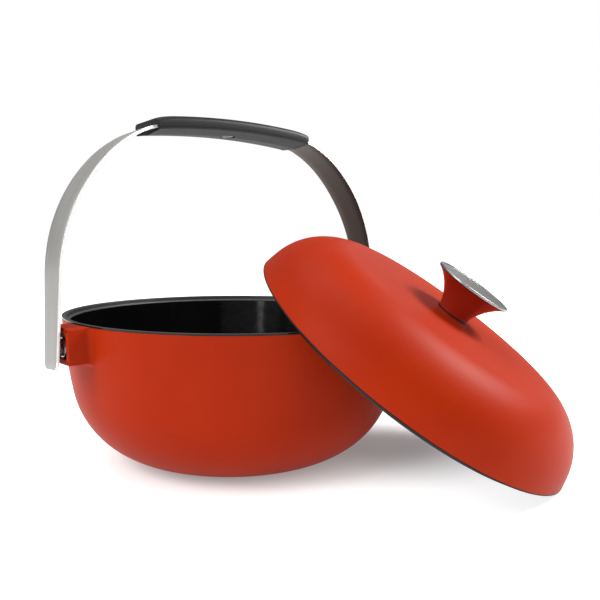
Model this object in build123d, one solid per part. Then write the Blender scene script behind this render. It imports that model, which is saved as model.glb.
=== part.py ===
from build123d import *
from math import atan2, cos, pi, radians, sin, sqrt, tan
import os

# ---------------------------------------------------------------- pot, mm
RIM_R = 120.0          # outer radius at the rim
POT_H = 103.0          # rim height above the table
SIDE_ARC_R = 371.5     # side view: the long arc of the upper wall
RIM_LEAN = 3.2         # that wall's lean from upright at the rim, degrees
KNEE_LEAN = 11.2       # and where the knee's arc takes over
KNEE_R = 64.0
WALL = 4.5             # casting thickness
RIM_LAND = 3.3         # flat ring of the rim, outside the step
SEAT_R = RIM_R - RIM_LAND  # step inside the rim that centres the lid
SEAT_DEEP = 3.0
SEAT_LEDGE = 3.2       # width of the step's own ledge
THROAT_R = SEAT_R - SEAT_LEDGE

# ---------------------------------------------------------------- lugs
LUG_X_TOP = RIM_R + 13.4  # how far the open face stands out, top and bottom
LUG_X_LOW = RIM_R + 12.4
LUG_W = 27.2
LUG_Z_LOW = 79.5
LUG_Z_TOP = 102.2
LUG_WALL = 3.6
LUG_FLOOR_X = RIM_R + 2.5  # back wall of the pocket
LUG_EDGE = 1.4         # rounding of the outer edges

# ---------------------------------------------------------------- pivots
PIVOT_Z = 89.5
PIN_R = 3.0
PIN_END_X = LUG_FLOOR_X + 2.0
RUNNING = 0.06         # radial clearance of a pin that turns
SNUG = 0.05            # gap between pieces that don't move on each other
BLOCK_FACE_X = LUG_FLOOR_X + 6.5
BUSH_R = 4.4
BUSH_FLANGE_R = 5.6
BUSH_FLANGE = 1.0
BUSH_END_X = LUG_FLOOR_X + 1.7
WASHER_R = 6.2
WASHER_T = 0.9
COLLAR_R = 5.4

# ---------------------------------------------------------------- bail
BAIL_TILT = -3.9       # rest angle about the pivots, top away from the lid
STRAP_T = 2.1
STRAP_TOP_Z = 232.3
CROWN_TURN = 6.0       # turn of the shallow arc over the top, degrees
STRAP_OUT = 5.6440     # foot's outer face beyond the lug's
BEND = (50.2, 18.0)
HIP = (89.5, 20.0)
SHOULDER = (113.2, 42.0)
LEG = 57.7
LEG_LEAN = CROWN_TURN + BEND[1] + HIP[1] + SHOULDER[1]
STRAP_W_LOW = 17.5
STRAP_W_HIGH = 26.4
STRAP_W_Z = 190.0      # height where the full width starts
STRAP_FOOT_R = 4.0

# ---------------------------------------------------------------- grip
GRIP_W = 30.5
GRIP_OVER = 5.3        # shell above the strap's outer face
GRIP_END_TURN = 6.0    # how far round the bend the grip reaches, degrees
GRIP_ROUND = 3.6
COVER_EDGE_T = 1.2
COVER_KEEL_T = 2.6
RECESS_R = 5.4
RECESS_KEEP = 1.0      # cover left above the screw recess
GRIP_SCREW_R = 2.0
GRIP_HEAD_R = 4.4
GRIP_HEAD_T = 1.2
GRIP_SCREW_L = 6.6
INSERT_R = 3.2
INSERT_L = 3.4

# ---------------------------------------------------------------- lid
LID_OVER = 2.0         # lid's edge beyond the pot's rim
LID_R = RIM_R + LID_OVER
LID_H = 44.0
LID_WALL_Z = 7.7
LID_LEAN = 14.4
LID_SHOULDER_R = 45.15
LID_T = 4.0
LIP_PLAY = 0.4         # radial play of the lip in the step
LIP_R = SEAT_R - LIP_PLAY
LIP_DEEP = 2.8
LIP_T = 3.3
LIP_IN_R = LIP_R - LIP_T
LIP_ROOT_Z = 1.5
LID_EDGE = 0.3
LID_HOLE_R = 3.3
LID_TILT = 35.54       # lid's axis from upright, degrees
LID_HEADING = -58.69   # compass of the lean, from +X
LID_STAND = 107.769    # foot of the leaning lid beyond the pot's rim
LID_ASIDE = 4.394      # and its shift across the lean

# ---------------------------------------------------------------- knob
GASKET_R = 11.3
GASKET_T = 0.8
KNOB_BASE_R = 11.0
KNOB_WAIST = (17.7, 14.0)
KNOB_TOP_R = 25.7
KNOB_H = 21.2
CAP_R = 26.7
CAP_T = 2.1
CAP_DISH = 0.4
SPIGOT_R = 9.0
SPIGOT_L = 2.0
KNOB_INSERT_R = 4.8
KNOB_INSERT_L = 9.0
KNOB_SCREW_R = 3.0
KNOB_HEAD_R = 5.6
KNOB_HEAD_T = 3.2
KNOB_WASHER_R = 8.5
KNOB_WASHER_T = 1.2
KNOB_SCREW_REACH = 8.0


DEGREES = 180 / pi


def crown_radius():
    """Radius of the top arc that lands the feet outside the lugs."""
    reach = LUG_X_TOP + STRAP_OUT - LEG * cos(radians(LEG_LEAN))
    turn = CROWN_TURN
    for radius, more in (BEND, HIP, SHOULDER):
        reach -= radius * (sin(radians(turn + more)) - sin(radians(turn)))
        turn += more
    return reach / sin(radians(CROWN_TURN))


CROWN = (crown_radius(), CROWN_TURN)


def turned(edges):
    """A closed outline in the XZ plane, turned about the Z axis."""
    face = make_face(edges)
    return revolve(face, Axis.Z)


def at(r, z):
    return (r, 0, z)


def arc_about(cx, cz, r, a0, a1):
    """An arc in the XZ plane; angles in degrees from +X towards +Z."""
    pts = [at(cx + r * cos(radians(a)), cz + r * sin(radians(a))) for a in (a0, (a0 + a1) / 2, a1)]
    return ThreePointArc(*pts)


def tube(r_out, r_in, x0, x1, z):
    """A ring along X between two stations."""
    body = Plane(origin=(x0, 0, z), z_dir=(1, 0, 0)) * Cylinder(
        r_out, x1 - x0, align=(Align.CENTER, Align.CENTER, Align.MIN)
    )
    if r_in:
        body -= Plane(origin=(x0 - 1, 0, z), z_dir=(1, 0, 0)) * Cylinder(
            r_in, x1 - x0 + 2, align=(Align.CENTER, Align.CENTER, Align.MIN)
        )
    return body


def disc(r_out, r_in, z0, z1):
    """A ring along Z between two heights."""
    ring = Pos(0, 0, z0) * Cylinder(r_out, z1 - z0, align=(Align.CENTER, Align.CENTER, Align.MIN))
    if r_in:
        ring -= Pos(0, 0, z0 - 1) * Cylinder(
            r_in, z1 - z0 + 2, align=(Align.CENTER, Align.CENTER, Align.MIN)
        )
    return ring


def other_side(part):
    return mirror(part, about=Plane.YZ)


# ------------------------------------------------------------------ pot
side_x = RIM_R - SIDE_ARC_R * cos(radians(RIM_LEAN))
side_z = POT_H + SIDE_ARC_R * sin(radians(RIM_LEAN))
knee_x = side_x + (SIDE_ARC_R - KNEE_R) * cos(radians(KNEE_LEAN))
knee_z = side_z - (SIDE_ARC_R - KNEE_R) * sin(radians(KNEE_LEAN))


def wall_r(z, inset):
    """Radius of the upper wall at a height, set in by a thickness."""
    return side_x + sqrt((SIDE_ARC_R - inset) ** 2 - (z - side_z) ** 2)


def bowl():
    in_r = SIDE_ARC_R - WALL
    throat_a = -atan2(sqrt(in_r**2 - (THROAT_R - side_x) ** 2), THROAT_R - side_x) * DEGREES
    out_knee = arc_about(knee_x, knee_z, KNEE_R, -90, -KNEE_LEAN)
    out_side = arc_about(side_x, side_z, SIDE_ARC_R, -KNEE_LEAN, -RIM_LEAN)
    in_side = arc_about(side_x, side_z, in_r, throat_a, -KNEE_LEAN)
    in_knee = arc_about(knee_x, knee_z, KNEE_R - WALL, -KNEE_LEAN, -90)
    floor_z = knee_z - KNEE_R
    seat_z = POT_H - SEAT_DEEP
    line = [
        Line(at(0, floor_z), out_knee @ 0),
        out_knee,
        out_side,
        Polyline(
            at(RIM_R, POT_H),
            at(SEAT_R, POT_H),
            at(SEAT_R, seat_z),
            at(THROAT_R, seat_z),
            in_side @ 0,
        ),
        in_side,
        in_knee,
        Polyline(in_knee @ 1, at(0, floor_z + WALL), at(0, floor_z)),
    ]
    return Pos(0, 0, -floor_z) * turned(line)


def lug():
    """A hollow box on the -X side, open outwards."""
    side = Polyline(
        (-wall_r(LUG_Z_LOW, 2.0), LUG_Z_LOW),
        (-LUG_X_LOW, LUG_Z_LOW),
        (-LUG_X_TOP, LUG_Z_TOP),
        (-wall_r(LUG_Z_LOW, 2.0), LUG_Z_TOP),
        close=True,
    )
    box = extrude(Plane.XZ * make_face(side), LUG_W / 2, both=True)
    outer = box.edges().filter_by(Axis.X) + box.faces().sort_by(Axis.X)[0].edges()
    box = fillet(outer, LUG_EDGE)
    return box


def lug_pocket(gap):
    """The pocket's volume; a positive gap makes it smaller all round."""
    wide = LUG_W - 2 * LUG_WALL - 2 * gap
    tall = LUG_Z_TOP - LUG_Z_LOW - 2 * LUG_WALL - 2 * gap
    deep = 20.0
    hole = Pos(-LUG_FLOOR_X - gap, 0, (LUG_Z_LOW + LUG_Z_TOP) / 2) * Box(
        deep, wide, tall, align=(Align.MAX, Align.CENTER, Align.CENTER)
    )
    return fillet(hole.edges().filter_by(Axis.X), 1.5)


pot_shape = bowl()
inside = Pos(0, 0, LUG_Z_LOW - 10) * Cylinder(
    wall_r(LUG_Z_LOW, 2.2), 60, align=(Align.CENTER, Align.CENTER, Align.MIN)
)
left_lug = lug() - inside
pot_body = pot_shape + left_lug + other_side(left_lug)
pot_body = pot_body - lug_pocket(0.0) - other_side(lug_pocket(0.0))
pot_body = pot_body.solids().sort_by(SortBy.VOLUME)[-1]

# ------------------------------------------------------------- bail path


def half_path(inset, steps, leg=0.0):
    """Tangent arcs from the top down the +X side, set in from the outer face."""
    lines = []
    here = Vector(0, 0, STRAP_TOP_Z - inset)
    heading = Vector(1, 0, 0)
    for radius, turn in steps:
        a = radians(turn)
        r = radius - inset
        side = Vector(heading.Z, 0, -heading.X)
        centre = here + side * r
        mid = centre - side * (r * cos(a / 2)) + heading * (r * sin(a / 2))
        end = centre - side * (r * cos(a)) + heading * (r * sin(a))
        lines.append(ThreePointArc(here, mid, end))
        heading = heading * cos(a) + side * sin(a)
        here = end
    if leg:
        end = here + heading * leg
        lines.append(Line(here, end))
        here = end
    return lines, here, heading


def band(inset0, inset1, steps, leg=0.0):
    """Half of a ribbon's side view between two insets, as a face."""
    out, out_end, _ = half_path(inset0, steps, leg)
    inn, inn_end, _ = half_path(inset1, steps, leg)
    ends = [Line(out_end, inn_end), Line(inn[0] @ 0, out[0] @ 0)]
    return make_face(out + inn + ends)


STRAP_STEPS = (CROWN, BEND, HIP, SHOULDER)
GRIP_STEPS = (CROWN, (BEND[0], GRIP_END_TURN))


def both_halves(face, width):
    half = extrude(face, width / 2, dir=(0, 1, 0), both=True)
    return half + other_side(half)


def foot_z():
    _, end, _ = half_path(0.0, STRAP_STEPS, LEG)
    return end.Z


def strap_outline():
    """The strap's front-to-back taper with rounded feet."""
    low = foot_z() - 0.4
    a = STRAP_W_LOW / 2
    b = STRAP_W_HIGH / 2
    top = STRAP_TOP_Z + 5
    outline = Polyline((-a, low), (a, low), (b, STRAP_W_Z), (b, top), (-b, top), (-b, STRAP_W_Z), close=True)
    body = extrude(Plane.YZ * make_face(outline), 200, both=True)
    feet = body.edges().filter_by(Axis.X).group_by(Axis.Z)[0]
    return fillet(feet, STRAP_FOOT_R)


strap = both_halves(band(0.0, STRAP_T, STRAP_STEPS, LEG), 60) & strap_outline()
strap -= Pos(0, 0, STRAP_TOP_Z - STRAP_T - 2) * Cylinder(GRIP_SCREW_R + SNUG, 20)
strap_guard = both_halves(band(-SNUG, STRAP_T + SNUG, STRAP_STEPS, LEG + 5), 40)

# ------------------------------------------------------------------ grip


def swept(section):
    """A section in the YZ plane, drawn at the top of the bail, run both ways along it."""
    path, _, _ = half_path(0.0, GRIP_STEPS)
    half = sweep(section, path=Wire(path))
    return half + other_side(half)


def shell_section():
    top = STRAP_TOP_Z + GRIP_OVER
    low = STRAP_TOP_Z - STRAP_T
    w = GRIP_W / 2
    body = Plane.YZ * make_face(Polyline((-w, low), (w, low), (w, top), (-w, top), close=True))
    upper = body.vertices().group_by(Axis.Z)[-1]
    body = fillet(upper, GRIP_ROUND)
    slot = STRAP_W_HIGH / 2 + SNUG
    cut = Polyline(
        (-slot, low - 1), (slot, low - 1), (slot, STRAP_TOP_Z + SNUG), (-slot, STRAP_TOP_Z + SNUG), close=True
    )
    return body - Plane.YZ * make_face(cut)


def cover_section():
    top = STRAP_TOP_Z - STRAP_T - SNUG
    w = GRIP_W / 2
    shape = Polyline(
        (-w, top), (w, top), (w, top - COVER_EDGE_T), (0, top - COVER_KEEL_T), (-w, top - COVER_EDGE_T), close=True
    )
    return Plane.YZ * make_face(shape)


keel_z = STRAP_TOP_Z - STRAP_T - SNUG - COVER_KEEL_T
recess_z = STRAP_TOP_Z - STRAP_T - SNUG - RECESS_KEEP
insert_low = STRAP_TOP_Z + 0.4
grip_shell = swept(shell_section())
grip_shell -= disc(INSERT_R + SNUG, 0, insert_low - SNUG, insert_low + INSERT_L + SNUG)
grip_shell -= disc(GRIP_SCREW_R + 0.3, 0, STRAP_TOP_Z - 1, insert_low)
grip_cover = swept(cover_section())
grip_cover -= disc(RECESS_R, 0, keel_z - 5, recess_z)
grip_cover -= disc(GRIP_SCREW_R + SNUG, 0, keel_z - 5, STRAP_TOP_Z + 5)
head_top = recess_z - 0.02
grip_screw = disc(GRIP_HEAD_R, 0, head_top - GRIP_HEAD_T, head_top)
grip_screw = fillet(grip_screw.edges().filter_by(GeomType.CIRCLE).sort_by(Axis.Z)[0], 0.5)
grip_screw += disc(GRIP_SCREW_R, 0, head_top - 0.5, head_top + GRIP_SCREW_L)
grip_screw -= Pos(0, 0, head_top - GRIP_HEAD_T) * Box(5.0, 0.9, 1.2)
grip_insert = disc(INSERT_R, GRIP_SCREW_R + SNUG, insert_low, insert_low + INSERT_L)

# ---------------------------------------------------------------- pivots
block = lug_pocket(SNUG) & (
    Pos(-BLOCK_FACE_X, 0, PIVOT_Z) * Box(30, 60, 60, align=(Align.MIN, Align.CENTER, Align.CENTER))
)
block -= tube(BUSH_R + SNUG, 0, -BLOCK_FACE_X - 5, -BUSH_END_X + SNUG, PIVOT_Z)
flange_x = BLOCK_FACE_X + SNUG
bush = tube(BUSH_R, PIN_R + RUNNING, -flange_x, -BUSH_END_X, PIVOT_Z)
bush += tube(BUSH_FLANGE_R, PIN_R + RUNNING, -flange_x - BUSH_FLANGE, -flange_x, PIVOT_Z)
washer_x = flange_x + BUSH_FLANGE + 0.15
washer = tube(WASHER_R, PIN_R + SNUG, -washer_x - WASHER_T, -washer_x, PIVOT_Z)
collar_x = washer_x + WASHER_T + 0.1
stud = tube(PIN_R, 0, -collar_x - 1, -PIN_END_X, PIVOT_Z)
stud = fillet(stud.edges().filter_by(GeomType.CIRCLE).sort_by(Axis.X)[-1], 0.6)
stud += tube(COLLAR_R, 0, -collar_x - 8, -collar_x, PIVOT_Z)
inner_side = strap_guard + Pos(-LUG_X_TOP - 14, 0, PIVOT_Z) * Box(20, 40, 40)
stud = (stud - inner_side).solids().sort_by(SortBy.VOLUME)[-1]

# ------------------------------------------------------------------- lid
lean = radians(LID_LEAN)
shoulder_r = LID_R - LID_WALL_Z * tan(lean) - LID_SHOULDER_R * cos(lean)
shoulder_z = LID_WALL_Z - LID_SHOULDER_R * sin(lean)
rise = shoulder_z - LID_H + LID_SHOULDER_R
crown_r = (LID_SHOULDER_R**2 - shoulder_r**2 - (shoulder_z - LID_H) ** 2) / (2 * rise)
crown_z = LID_H - crown_r
blend = 90 - atan2(shoulder_r, shoulder_z - crown_z) * DEGREES


def lid_casting():
    in_r = LID_SHOULDER_R - LID_T
    root_r = LIP_IN_R + 3.4
    root_a = atan2(sqrt(in_r**2 - (root_r - shoulder_r) ** 2), root_r - shoulder_r)
    root_a = root_a * DEGREES
    outer_shoulder = arc_about(shoulder_r, shoulder_z, LID_SHOULDER_R, LID_LEAN, blend)
    outer_crown = arc_about(0, crown_z, crown_r, blend, 90)
    inner_crown = arc_about(0, crown_z, crown_r - LID_T, 90, blend)
    inner_shoulder = arc_about(shoulder_r, shoulder_z, in_r, blend, root_a)
    line = [
        Polyline(
            inner_shoulder @ 1,
            at(LIP_IN_R, LIP_ROOT_Z),
            at(LIP_IN_R, -LIP_DEEP),
            at(LIP_R, -LIP_DEEP),
            at(LIP_R, 0),
            at(LID_R - LID_EDGE, 0),
            at(LID_R, LID_EDGE),
            outer_shoulder @ 0,
        ),
        outer_shoulder,
        outer_crown,
        Line(outer_crown @ 1, inner_crown @ 0),
        inner_crown,
        inner_shoulder,
    ]
    return turned(line) - disc(LID_HOLE_R, 0, 0, LID_H + 10)


def flare():
    base = LID_H + GASKET_T
    top = base + KNOB_H
    curve = ThreePointArc(at(KNOB_BASE_R, base), at(KNOB_WAIST[0], base + KNOB_WAIST[1]), at(KNOB_TOP_R, top))
    line = [Line(at(0, base), at(KNOB_BASE_R, base)), curve, Polyline(at(KNOB_TOP_R, top), at(0, top), at(0, base))]
    body = turned(line)
    body -= disc(SPIGOT_R + SNUG, 0, top - SPIGOT_L - SNUG, top + 1)
    body -= disc(KNOB_INSERT_R + SNUG, 0, base - 1, base + KNOB_INSERT_L + SNUG)
    return body


def cap():
    low = LID_H + GASKET_T + KNOB_H + 0.02
    plate = disc(CAP_R, 0, low, low + CAP_T)
    plate = fillet(plate.edges().filter_by(GeomType.CIRCLE), 0.8)
    plate -= disc(CAP_R - 2.4, 0, low + CAP_T - CAP_DISH, low + CAP_T + 1)
    return plate + disc(SPIGOT_R, 0, low - SPIGOT_L, low + 0.1)


lid_body = lid_casting()
gasket = disc(GASKET_R, KNOB_SCREW_R + 0.3, LID_H + 0.02, LID_H + GASKET_T - 0.02)
knob_body = flare()
knob_cap = cap()
insert_z = LID_H + GASKET_T
knob_insert = disc(KNOB_INSERT_R, KNOB_SCREW_R + SNUG, insert_z + 0.02, insert_z + KNOB_INSERT_L)
under = crown_z + sqrt((crown_r - LID_T) ** 2 - KNOB_WASHER_R**2) + SNUG
knob_washer = disc(KNOB_WASHER_R, KNOB_SCREW_R + SNUG, under - KNOB_WASHER_T - 0.1, under - 0.1)
head_z = under - KNOB_WASHER_T - 0.12
knob_screw = disc(KNOB_HEAD_R, 0, head_z - KNOB_HEAD_T, head_z)
knob_screw = fillet(knob_screw.edges().filter_by(GeomType.CIRCLE).sort_by(Axis.Z)[0], 1.5)
knob_screw -= Pos(0, 0, head_z - KNOB_HEAD_T) * Box(8.0, 1.4, 2.4)
knob_screw += disc(KNOB_SCREW_R, 0, head_z - 0.5, insert_z + KNOB_SCREW_REACH)

tilt = radians(LID_TILT)
heading = radians(LID_HEADING)
along = RIM_R + LID_STAND - LID_R * cos(tilt)
lid_x = along * cos(heading) - LID_ASIDE * sin(heading)
lid_y = along * sin(heading) + LID_ASIDE * cos(heading)
lid_plane = Plane(
    origin=(lid_x, lid_y, (LID_R - LID_EDGE) * sin(tilt)),
    x_dir=(cos(tilt) * cos(heading), cos(tilt) * sin(heading), -sin(tilt)),
    z_dir=(sin(tilt) * cos(heading), sin(tilt) * sin(heading), cos(tilt)),
)
swing = Pos(0, 0, PIVOT_Z) * Rot(BAIL_TILT, 0, 0) * Pos(0, 0, -PIVOT_Z)

fixed_parts = {
    "pot_body": pot_body,
    "hinge_block_left": block,
    "hinge_block_right": other_side(block),
    "hinge_bush_left": bush,
    "hinge_bush_right": other_side(bush),
}
bail_parts = {
    "bail_strap": strap,
    "pivot_stud_left": stud,
    "pivot_stud_right": other_side(stud),
    "pivot_washer_left": washer,
    "pivot_washer_right": other_side(washer),
    "grip_shell": grip_shell,
    "grip_cover": grip_cover,
    "grip_screw": grip_screw,
    "grip_insert": grip_insert,
}
lid_parts = {
    "lid_body": lid_body,
    "knob_gasket": gasket,
    "knob_body": knob_body,
    "knob_cap": knob_cap,
    "knob_insert": knob_insert,
    "knob_washer": knob_washer,
    "knob_screw": knob_screw,
}

os.makedirs("parts", exist_ok=True)
for name, part in fixed_parts.items():
    export_step(part, f"parts/{name}.step")
for name, part in bail_parts.items():
    export_step(swing * part, f"parts/{name}.step")
for name, part in lid_parts.items():
    export_step(lid_plane * part, f"parts/{name}.step")
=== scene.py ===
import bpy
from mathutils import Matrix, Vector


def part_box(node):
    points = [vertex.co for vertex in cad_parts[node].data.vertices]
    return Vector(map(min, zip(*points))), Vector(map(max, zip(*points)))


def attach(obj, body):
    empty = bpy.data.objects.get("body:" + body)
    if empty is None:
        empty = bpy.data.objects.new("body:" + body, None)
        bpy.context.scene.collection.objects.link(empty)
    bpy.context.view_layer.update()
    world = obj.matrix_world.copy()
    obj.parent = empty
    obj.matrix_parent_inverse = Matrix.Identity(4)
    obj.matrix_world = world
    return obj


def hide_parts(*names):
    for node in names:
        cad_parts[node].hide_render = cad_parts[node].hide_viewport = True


bl_info = {
    "name": "Dutch Oven With Bail",
    "version": (1, 0, 0),
    "blender": (4, 5, 0),
    "location": "View3D > Sidebar > Dutch Oven",
    "description": "An enamelled dutch oven with a steel bail, its lid leaning on it, and a studio stage",
    "category": "Object",
}

from math import acos, atan2, cos, pi, radians, sin, sqrt, tan

import bmesh
import bpy
from bpy.props import FloatProperty, FloatVectorProperty, IntProperty, PointerProperty
from bpy.types import Operator, Panel, PropertyGroup
from mathutils import Matrix, Vector

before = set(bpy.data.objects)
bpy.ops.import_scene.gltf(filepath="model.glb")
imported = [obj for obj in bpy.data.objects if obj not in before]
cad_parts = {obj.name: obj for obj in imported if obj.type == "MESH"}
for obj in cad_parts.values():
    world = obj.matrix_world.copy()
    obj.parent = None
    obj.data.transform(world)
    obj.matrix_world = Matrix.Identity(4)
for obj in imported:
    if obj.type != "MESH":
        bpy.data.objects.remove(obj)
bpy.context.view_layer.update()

MM = 0.001
SNUG = 0.05 * MM  # gap between pieces that don't move on each other
MERGE = 0.002 * MM  # points nearer than this are one
CREASE = 35  # degrees past which shading breaks
SHARP = 50  # degrees past which an edge is a corner
KNOB_ROUNDS = 128
LID_SHADE = (0.10, -0.05)  # middle of the floor's shade under the lid
POT_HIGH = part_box("pot_body")[1]
STRAP_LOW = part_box("bail_strap")[0]


def length(name, about, default):
    return FloatProperty(
        name=name, description=about, default=default, unit="LENGTH", precision=5
    )


def angle(name, about, default):
    return FloatProperty(
        name=name, description=about, default=radians(default), subtype="ANGLE", unit="ROTATION"
    )


def colour(name, about, default):
    return FloatVectorProperty(
        name=name, description=about, default=default, size=3, subtype="COLOR", min=0, max=1
    )


def amount(name, about, default):
    return FloatProperty(name=name, description=about, default=default, min=0)


# --------------------------------------------------------------- sizes


class PotSizes(PropertyGroup):
    rim_radius: length("Rim radius", "Outer radius at the rim", POT_HIGH.y)
    height: length("Height", "Rim above the table", POT_HIGH.z)
    side_radius: length("Side arc", "Radius of the long arc of the upper wall", 0.3715)
    rim_lean: angle("Lean at rim", "The wall's lean from upright at the rim", 3.2)
    knee_lean: angle("Lean at knee", "The wall's lean where the knee starts", 11.2)
    knee_radius: length("Knee arc", "Radius that turns the wall into the base", 0.064)
    wall: length("Wall", "Casting thickness", 0.0045)
    seat_radius: length("Seat radius", "Step inside the rim that centres the lid", 0.1167)
    seat_deep: length("Seat depth", "How far that step is below the rim", 0.003)
    throat_radius: length("Throat radius", "Inner radius just under the step", 0.1135)
    dark_edge: length("Dark edge", "Height of the bare dark edge under the rim", 0.0011)


class LugSizes(PropertyGroup):
    reach: length("Reach", "Open face from the pot's axis", POT_HIGH.x)
    slope: length("Slope", "How much less the face reaches at its foot", 0.0010)
    width: length("Width", "Front to back", 0.0272)
    low: length("Foot", "Underside above the table", 0.0795)
    high: length("Top", "Top above the table", 0.1022)
    wall: length("Wall", "Thickness round the pocket", 0.0036)
    floor: length("Pocket floor", "Back of the pocket from the pot's axis", 0.1225)
    round: length("Rounding", "Rounding of the outer edges", 0.0014)
    root: length("Root", "Radius where the lug runs into the wall", 0.0032)


class BailSizes(PropertyGroup):
    pivot: length("Pivot height", "Pivots above the table", 0.0895)
    tilt: angle("Tilt", "Rest angle about the pivots", -3.9)
    top: length("Top", "Strap's outer face at its highest", 0.2323)
    thick: length("Thickness", "Strap thickness", 0.0021)
    wide_low: length("Foot width", "Strap width at its feet", 0.0175)
    wide_high: length("Top width", "Strap width at its top", 0.0264)
    wide_from: length("Full width from", "Height where the full width starts", 0.190)
    foot_round: length("Foot rounding", "Rounding of the feet's corners", 0.004)
    edge_round: length("Edge rounding", "Rounding of the long edges", 0.00035)
    leg: length("Leg", "Straight part of each leg", 0.0577)


class GripSizes(PropertyGroup):
    width: length("Width", "Front to back", 0.0305)
    over: length("Height over strap", "Shell above the strap's outer face", 0.0053)
    end_turn: angle("End turn", "How far round the bend the grip reaches", 6.0)
    round: length("Rounding", "Rounding of the long upper edges", 0.0036)
    end_round: length("End rounding", "Rounding of the end faces", 0.0019)
    end_drop: length("End drop", "How far the top comes down at its ends", 0.0009)
    end_fall: length("End fall", "Length over which it comes down", 0.014)


class LidSizes(PropertyGroup):
    radius: length("Radius", "Outer radius", 0.122)
    height: length("Height", "Crown above the rim plane", 0.044)
    wall_top: length("Wall", "Height of the leaning wall", 0.0077)
    lean: angle("Lean", "Lean of the wall where the shoulder starts", 14.4)
    shoulder: length("Shoulder arc", "Radius of the shoulder", 0.04515)
    thick: length("Thickness", "Casting thickness", 0.004)
    lip_radius: length("Lip radius", "Outer radius of the locating lip", 0.1163)
    lip_inner: length("Lip inner radius", "Inner radius of the lip", 0.113)
    lip_deep: length("Lip depth", "Lip below the rim plane", 0.0028)
    hole: length("Hole", "Radius of the knob screw's hole", 0.0033)
    tilt: angle("Tilt", "Lid's axis from upright", 35.54)
    heading: angle("Heading", "Compass of the lean", -58.69)
    x: length("Place X", "Centre of the rim plane", 0.07053)
    y: length("Place Y", "Centre of the rim plane", -0.1075)
    dark_edge: length("Dark edge", "Height of the bare dark edge over the rim plane", 0.0010)


class KnobSizes(PropertyGroup):
    gasket: length("Gasket", "Thickness of the gasket", 0.0008)
    base: length("Base radius", "Radius at the lid", 0.011)
    waist: length("Waist radius", "Radius part way up", 0.0177)
    waist_up: length("Waist height", "Height of that radius", 0.014)
    top: length("Top radius", "Radius under the disc", 0.0257)
    height: length("Height", "Height to the disc", 0.0212)
    disc: length("Disc radius", "Radius of the steel disc", 0.0267)
    disc_thick: length("Disc thickness", "Thickness of the steel disc", 0.0021)
    disc_border: length("Disc border", "Width of the raised border", 0.0024)
    dish: length("Dish", "Depth of the disc's dished middle", 0.0004)
    spigot: length("Spigot radius", "Radius of the disc's spigot in the knob", 0.009)
    spigot_deep: length("Spigot depth", "How far that spigot reaches down", 0.002)
    insert: length("Insert radius", "Radius of the threaded insert", 0.0048)


class Finishes(PropertyGroup):
    red: colour("Red", "Enamel outside", (0.315, 0.0190, 0.0020))
    red_deep: colour("Deep red", "Enamel's darker variation", (0.275, 0.0155, 0.0018))
    knob_red: colour("Knob red", "Moulded knob", (0.205, 0.0110, 0.0045))
    black: colour("Black", "Enamel inside", (0.0022, 0.0020, 0.0022))
    edge: colour("Edge", "Bare edge of the casting", (0.013, 0.012, 0.0115))
    steel: colour("Steel", "Brushed steel", (0.47, 0.465, 0.447))
    # Pale colour of the strap's edges, a painted highlight.
    cut: colour("Cut steel", "Strap's edges", (0.88, 0.87, 0.85))
    disc: colour("Disc", "Turned steel disc", (0.25, 0.247, 0.240))
    # Dark brownish steel of the strap's inner side: painted shade and dark reflection.
    inner_shade: colour("Inner steel", "Strap's inner side", (0.085, 0.062, 0.053))
    grip: colour("Grip", "Black moulding", (0.0042, 0.0042, 0.0045))
    bronze: colour("Bush", "Bearing bushes", (0.19, 0.13, 0.085))


class StageSizes(PropertyGroup):
    eye: FloatVectorProperty(
        name="Camera",
        description="Camera position",
        default=(-0.31685, -0.43164, 0.16290),
        subtype="TRANSLATION",
        unit="LENGTH",
        precision=5,
    )
    heading: angle("Heading", "Camera heading, clockwise from +Y", 41.285)
    pitch: angle("Pitch", "Camera pitch, downwards", 5.555)
    roll: angle("Roll", "Camera roll", 0.388)
    lens: FloatProperty(
        name="Lens", description="Focal length", default=44.452, min=1, unit="CAMERA"
    )
    floor: length("Floor", "Side of the floor", 12.0)
    ambient: amount("Ambient", "Strength of the even light on its open side", 0.50)
    back_light: amount("Back light", "Strength of the even light on the other side", 0.02)
    open_side: FloatVectorProperty(
        name="Open side",
        description="Where the even light is strongest",
        default=(-0.75, 0.35, 0.50),
        subtype="DIRECTION",
    )
    rounds: IntProperty(name="Round steps", description="Steps of a full turn", default=192, min=24)


# ------------------------------------------------------------- shaders


class Wire:
    """A shader value that takes part in ordinary sums."""

    def __init__(self, finish, socket):
        self.finish = finish
        self.socket = socket

    def __add__(self, other):
        return self.finish.sum("ADD", self, other)

    def __radd__(self, other):
        return self.finish.sum("ADD", other, self)

    def __sub__(self, other):
        return self.finish.sum("SUBTRACT", self, other)

    def __rsub__(self, other):
        return self.finish.sum("SUBTRACT", other, self)

    def __mul__(self, other):
        return self.finish.sum("MULTIPLY", self, other)

    def __rmul__(self, other):
        return self.finish.sum("MULTIPLY", other, self)

    def __pow__(self, other):
        return self.finish.sum("POWER", self, other)


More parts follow.
